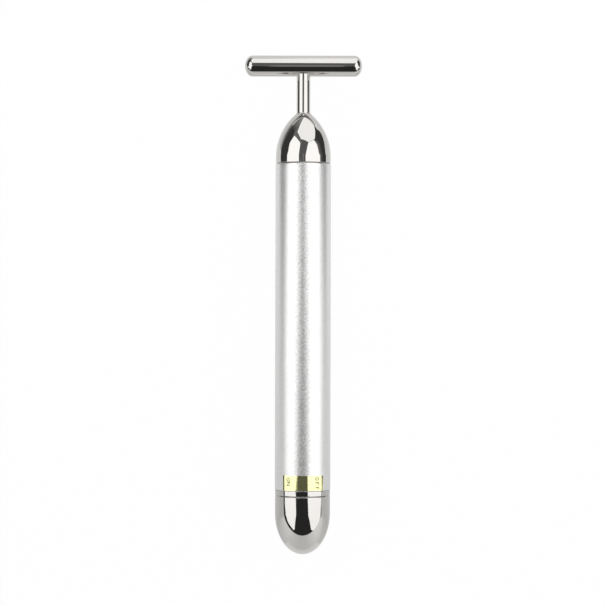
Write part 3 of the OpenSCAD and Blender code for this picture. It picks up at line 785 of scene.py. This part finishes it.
AXIS_Z = BARREL_R * MM
LENS, SENSOR, FAR_CLIP = 128.4, 36, 50
CAMERA_X, CAMERA_Y, CAMERA_HEIGHT = -0.00015, 0.00078, 0.70
ROLL = 0.143
SIDE_TURN, HEAD_TURN, HEAD_RISE = 45, 30, 55
PANEL_AWAY, SPILL_AWAY, SPILL_STEP, INNER_Z = 0.6, 0.62, 0.02, 0.64
PANEL, PANEL_FOOT, HEAD_PANEL = 1.6, 1.44, 1.4
SPILL_LEFT, SPILL_RIGHT, SPILL_INNER = 1.15, 1.95, 2.2
SPILL_EDGES = ((0.05, 0.36), (0.12, 0.2), (0.28, 0.11))
PAPER_LOW, PAPER_HIGH, FAR_WALL = 0.65, 0.9, 0.95
PAPER_HEAD, PAPER_HEAD_TOP, PAPER_HEAD_LEFT = 0.84, 1.02, 0.14
PAPER_SIDE_RIGHT, PAPER_FAR_LEFT, PAPER_FAR_RIGHT = 0.68, 0.93, 0.99
PAPER_FOOT, PAPER_FOOT_LOW = 0.72, 0.88
CEILING, CEILING_HEAD, CAMERA_BACK = 0.14, 0.196, 0.26
DIM_FOOT, DIM_HEAD, DIM_FAR = 0.03, 0.056, 0.28
FLOOR_HALF, FLOOR_GREY, FLOOR_WHITE_SHARE = 4.0, 0.9, 0.985
PAPER_Z, PAPER_FOOT_Y, PAPER_HEAD_Y = -0.12, -0.132, 0.11
PAPER_LEFT, PAPER_RIGHT = -0.362, 0.349


def emitter(name, corners, strength, lit=True, far_strength=None, fades=()):
    """A flat stage panel of plain light that the camera doesn't see. Its strength may turn into
    another one along one or two axes of the frame, fades = (axis, start, end)."""
    mesh = bpy.data.meshes.new(name)
    mesh.from_pydata([tuple(c) for c in corners], [], [tuple(range(len(corners)))])
    mat = bpy.data.materials.new(name)
    mat.use_nodes = True
    tree = mat.node_tree
    nodes, links = tree.nodes, tree.links
    nodes.clear()
    glow = nodes.new("ShaderNodeEmission")
    glow.inputs["Strength"].default_value = strength
    if fades:
        place = axes(tree)
        both = nodes.new("ShaderNodeMath")
        both.operation = "MULTIPLY"
        both.inputs[1].default_value = 1
        for i, (axis, start, end) in enumerate(fades):
            links.new(ramped(tree, place[axis], start, 0, end, 1), both.inputs[i])
        level = ramped(tree, both.outputs[0], 0, strength, 1, far_strength)
        links.new(level, glow.inputs["Strength"])
    out = nodes.new("ShaderNodeOutputMaterial")
    links.new(glow.outputs["Emission"], out.inputs["Surface"])
    mesh.materials.append(mat)
    obj = linked(name, mesh)
    obj.visible_camera = False
    obj.visible_shadow = False
    obj.visible_transmission = False
    obj.visible_diffuse = lit


def panel(name, azimuth, elevation, distance, corners, strength, **more):
    """A softbox that faces the handle's middle. Azimuth turns from +Z towards +X, elevation
    towards +Y; corners are (across, up) on its plane, in metres."""
    a, e = math.radians(azimuth), math.radians(elevation)
    facing = Vector((math.sin(a) * math.cos(e), math.sin(e), math.cos(a) * math.cos(e)))
    across = Vector((math.cos(a), 0, -math.sin(a)))
    up = across.cross(facing)
    if up.y < 0:
        up = -up
    centre = Vector((0, 0, AXIS_Z)) + facing * distance
    emitter(name, [centre + across * u + up * v for u, v in corners], strength, **more)


def softboxes():
    """Three softboxes, cut to the outlines that the metal mirrors."""
    dimmer = {"far_strength": PANEL_FOOT, "fades": (("Y", -0.05, -0.13),)}
    panel("softbox_left", -SIDE_TURN, 0, PANEL_AWAY, [
        (-0.40, -0.13), (-0.44, -0.06), (-0.40, 0.03), (-0.325, 0.055), (-0.285, 0.11),
        (-0.236, 0.188), (-0.226, 0.356), (-0.055, 0.584), (0.365, 0.436), (0.32, 0.21),
        (0.295, 0.089), (0.32, 0.04), (0.315, -0.06), (0.275, -0.1), (0.235, -0.109),
        (0.15, -0.1125), (0.185, -0.116), (0.2, -0.127), (0.079, -0.436), (0.015, -0.447),
        (-0.045, -0.387), (-0.193, -0.275), (-0.251, -0.22), (-0.282, -0.167), (-0.333, -0.133),
    ], PANEL, **dimmer)
    outer_edge = ((0.335, 0.092), (0.25, 0.145), (0.202, 0.321), (0.07, 0.443))
    panel("softbox_right", SIDE_TURN, 0, PANEL_AWAY, [
        (0.50, -0.134), (0.50, -0.02), (0.42, 0.04), *outer_edge,
        (-0.253, 0.404), (-0.43, 0.096), (-0.36, 0.03), (-0.325, -0.06), (-0.28, -0.1),
        (-0.25, -0.1165), (-0.255, -0.119), (-0.225, -0.128), (-0.143, -0.254), (-0.034, -0.434),
        (0.031, -0.457), (0.137, -0.438), (0.198, -0.387), (0.261, -0.333), (0.32, -0.295),
        (0.369, -0.249), (0.41, -0.196), (0.44, -0.139),
    ], PANEL, **dimmer)
    panel("softbox_head", HEAD_TURN, HEAD_RISE, PANEL_AWAY, [
        (0.001, 0.41), (0.296, 0.335), (0.43, 0.262), (0.372, 0.067),
        (0.26, -0.149), (-0.044, -0.233), (-0.356, -0.063), (-0.432, 0.221),
    ], HEAD_PANEL)
    spill_low("left", -1, SPILL_LEFT)
    spill_inner("left", -1, 0.08)
    spill_low("right", 1, SPILL_RIGHT)
    spill_inner("right", 1, 0.05)
    for i, (grow, level) in enumerate(SPILL_EDGES):
        corners = [(u + grow, v + grow * 0.2) for u, v in outer_edge]
        panel("spill_right_%d" % i, SIDE_TURN, 0, SPILL_AWAY + SPILL_STEP * i, [
            (0.2, -0.03), (0.355 + grow, -0.03), *corners, (-0.1, 0.3),
        ], level, lit=False)


def spill_low(side, sign, level):
    """Light past a softbox's outer edge, low down, as the barrel's rim mirrors it."""
    near, far, low, high = 0.33 * sign, 0.95 * sign, -0.09, 0.03
    panel("spill_low_" + side, SIDE_TURN * sign, 0, SPILL_AWAY, [
        (near, low), (far, low), (far, high), (near, high),
    ], level, lit=False, far_strength=level / 2, fades=(("Y", high, low),))


def spill_inner(side, sign, inner):
    """Light past a softbox's inner edge, beside the barrel's dark stripe."""
    near, far, low, high = inner * sign, 0.25 * sign, -0.1, 0.08
    emitter("spill_inner_" + side, [
        (near, low, INNER_Z), (far, low, INNER_Z), (far, high, INNER_Z), (near, high, INNER_Z),
    ], SPILL_INNER, lit=False, far_strength=0, fades=(("Y", high, -0.06),))


def card_head():
    """A small reflector close to the head. It carries the head panel's lower edge on, as the
    crossbar mirrors it."""
    emitter("card_head", [
        (-0.026, 0.161, 0.155), (0.026, 0.153, 0.160),
        (0.026, 0.172, 0.145), (-0.026, 0.172, 0.145),
    ], HEAD_PANEL, lit=False)


def paper():
    """The white paper behind the object, which the metal mirrors. Its head is lighter on the
    right and darkens towards the left."""
    low, head_y, side_y, fade_x = PAPER_Z, PAPER_HEAD_Y, 0.075, -0.12
    emitter("paper_back", [
        (PAPER_LEFT, -0.5, low), (PAPER_LEFT, side_y, low), (-0.38, head_y, low),
        (0.43, head_y, low), (PAPER_RIGHT, side_y, low), (PAPER_RIGHT, -0.5, low),
    ], PAPER_LOW, lit=False, far_strength=PAPER_HIGH, fades=(("Y", -0.12, 0.05),))
    emitter("paper_head", [
        (fade_x, head_y, low), (fade_x, 3, low), (1.2, 3, low), (0.6, 0.6, low), (0.33, 0.31, low),
        (0.285, 0.24, low), (0.30, 0.2, low), (0.335, 0.18, low), (0.40, 0.165, low),
        (0.43, head_y, low),
    ], PAPER_HEAD, lit=False, far_strength=PAPER_HEAD_TOP, fades=(("Y", 0.2, 0.4),))
    emitter("paper_head_left", [
        (fade_x, head_y, low), (fade_x, 3, low), (-2, 3, low), (-1, 0.6, low), (-0.45, 0.2, low),
        (-0.38, head_y, low),
    ], PAPER_HIGH, lit=False, far_strength=PAPER_HEAD_LEFT, fades=(("X", fade_x, -0.45),))


def paper_edges():
    """The paper turned up at the sides and the foot, and the wall far beyond the foot."""
    low, foot_y, foot_top, side_y = PAPER_Z, PAPER_FOOT_Y, 0.0705, 0.075
    left_top = (
        (side_y, low), (-0.088, 0.035), (-0.098, 0.04), (-0.106, 0.063), (foot_y, foot_top),
    )
    right_top = (
        (side_y, low), (-0.078, -0.05), (-0.089, 0.036), (-0.106, 0.042), (-0.115, 0.06),
        (foot_y, foot_top),
    )
    for side, end, top, level, far, start_z, end_z in (
        ("left", PAPER_LEFT, left_top, PAPER_LOW, PAPER_FAR_LEFT, -0.07, 0.05),
        ("right", PAPER_RIGHT, right_top, PAPER_SIDE_RIGHT, PAPER_FAR_RIGHT, -0.045, 0.03),
    ):
        corners = [(end, y, z) for y, z in (*top, (foot_y, low))]
        rising = ("Z", start_z, end_z)
        emitter("paper_" + side, corners, level, lit=False, far_strength=far,
                fades=(("Y", -0.11, foot_y), rising))
        emitter("paper_foot_" + side, [
            (0, foot_y, foot_top), (end, foot_y, foot_top), (end, foot_y, low), (0, foot_y, low),
        ], PAPER_FOOT, lit=False, far_strength=far,
            fades=(("X", end * 0.04, end * 0.24), rising))
    card, card_y = 0.06, foot_y + 0.001
    emitter("paper_foot_low", [
        (-card, card_y, 0), (card, card_y, 0), (card, card_y, low), (-card, card_y, low),
    ], PAPER_FOOT_LOW, lit=False)
    emitter("far_wall", [
        (-0.5, -1, low), (0.5, -1, low), (0.5, -1, 0.40), (-0.5, -1, 0.40),
    ], FAR_WALL, lit=False)


def ceiling():
    """The dim room above, and the back of the camera, which the crossbar mirrors."""
    emitter("ceiling", [
        (-0.7, -0.03, 1.0), (-0.7, 1.2, 1.0), (0.45, 1.2, 1.0), (0.45, -0.03, 1.0),
    ], CEILING, lit=False)
    emitter("ceiling_head", [
        (-1.6, 0.6, 0.99), (-1.6, 2.6, 0.99), (-0.1, 2.6, 0.99), (-0.1, 0.6, 0.99),
    ], CEILING_HEAD, lit=False)
    emitter("camera_back", [
        (-0.0225, -0.08, 0.72), (0.0275, -0.08, 0.72), (0.0275, 0.14, 0.72), (-0.0225, 0.14, 0.72),
    ], CAMERA_BACK, lit=False)


def floor():
    """A white floor: plain white to the camera, with the object's own soft shadow left in it."""
    mesh = bpy.data.meshes.new("floor")
    half = FLOOR_HALF
    corners = [(-half, -half, 0), (half, -half, 0), (half, half, 0), (-half, half, 0)]
    mesh.from_pydata(corners, [], [(0, 1, 2, 3)])
    mat = bpy.data.materials.new("floor")
    mat.use_nodes = True
    nodes, links = mat.node_tree.nodes, mat.node_tree.links
    shader = nodes["Principled BSDF"]
    shader.inputs["Base Color"].default_value = (FLOOR_GREY, FLOOR_GREY, FLOOR_GREY, 1)
    shader.inputs["Roughness"].default_value = 0.9
    white = nodes.new("ShaderNodeEmission")
    white.inputs["Strength"].default_value = 1.0
    light_path = nodes.new("ShaderNodeLightPath")
    seen = nodes.new("ShaderNodeMath")
    seen.operation = "MAXIMUM"
    share = nodes.new("ShaderNodeMath")
    share.operation = "MULTIPLY"
    share.inputs[1].default_value = FLOOR_WHITE_SHARE
    mix = nodes.new("ShaderNodeMixShader")
    links.new(light_path.outputs["Is Camera Ray"], seen.inputs[0])
    links.new(light_path.outputs["Is Transmission Ray"], seen.inputs[1])
    links.new(seen.outputs[0], share.inputs[0])
    links.new(share.outputs[0], mix.inputs[0])
    links.new(shader.outputs["BSDF"], mix.inputs[1])
    links.new(white.outputs["Emission"], mix.inputs[2])
    links.new(mix.outputs["Shader"], nodes["Material Output"].inputs["Surface"])
    mesh.materials.append(mat)
    obj = linked("floor", mesh)
    obj.visible_glossy = False


def world():
    """White behind the object for the camera, and a dim studio for everything else, lighter
    towards the head."""
    foot, head, far_from = -0.03, 0.08, 0.75
    scene_world = bpy.data.worlds.new("studio")
    bpy.context.scene.world = scene_world
    scene_world.use_nodes = True
    tree = scene_world.node_tree
    nodes, links = tree.nodes, tree.links
    nodes.clear()
    light_path = nodes.new("ShaderNodeLightPath")
    white = nodes.new("ShaderNodeBackground")
    white.inputs["Color"].default_value = (1, 1, 1, 1)
    dim = nodes.new("ShaderNodeBackground")
    dim.inputs["Color"].default_value = (1, 1, 1, 1)
    up = axes(tree, "Generated")["Y"]
    near = ramped(tree, up, foot, DIM_FOOT, head, DIM_HEAD)
    far = ramped(tree, up, far_from, 0, 1, DIM_FAR)
    level = nodes.new("ShaderNodeMath")
    links.new(near, level.inputs[0])
    links.new(far, level.inputs[1])
    links.new(level.outputs[0], dim.inputs["Strength"])
    mix = nodes.new("ShaderNodeMixShader")
    out = nodes.new("ShaderNodeOutputWorld")
    links.new(light_path.outputs["Is Camera Ray"], mix.inputs[0])
    links.new(dim.outputs["Background"], mix.inputs[1])
    links.new(white.outputs["Background"], mix.inputs[2])
    links.new(mix.outputs["Shader"], out.inputs["Surface"])


def camera():
    """Straight above the object, as in the photograph, with its slight roll."""
    data = bpy.data.cameras.new("camera")
    data.lens = LENS
    data.sensor_width = SENSOR
    data.clip_end = FAR_CLIP
    obj = linked("camera", data)
    obj.location = (CAMERA_X, CAMERA_Y, AXIS_Z + CAMERA_HEIGHT)
    obj.rotation_euler = (0, 0, math.radians(ROLL))
    bpy.context.scene.camera = obj


dress_cad_nodes()
t_bar()
stem()
bar_weld()
nose_cone()
barrel()
switch_label()
switch_words()
collar_ring()
end_cap()
switch_plug()
plug_seal()
battery_spring()
battery()
softboxes()
card_head()
paper()
paper_edges()
ceiling()
floor()
world()
camera()
bpy.context.scene.view_settings.view_transform = "Standard"
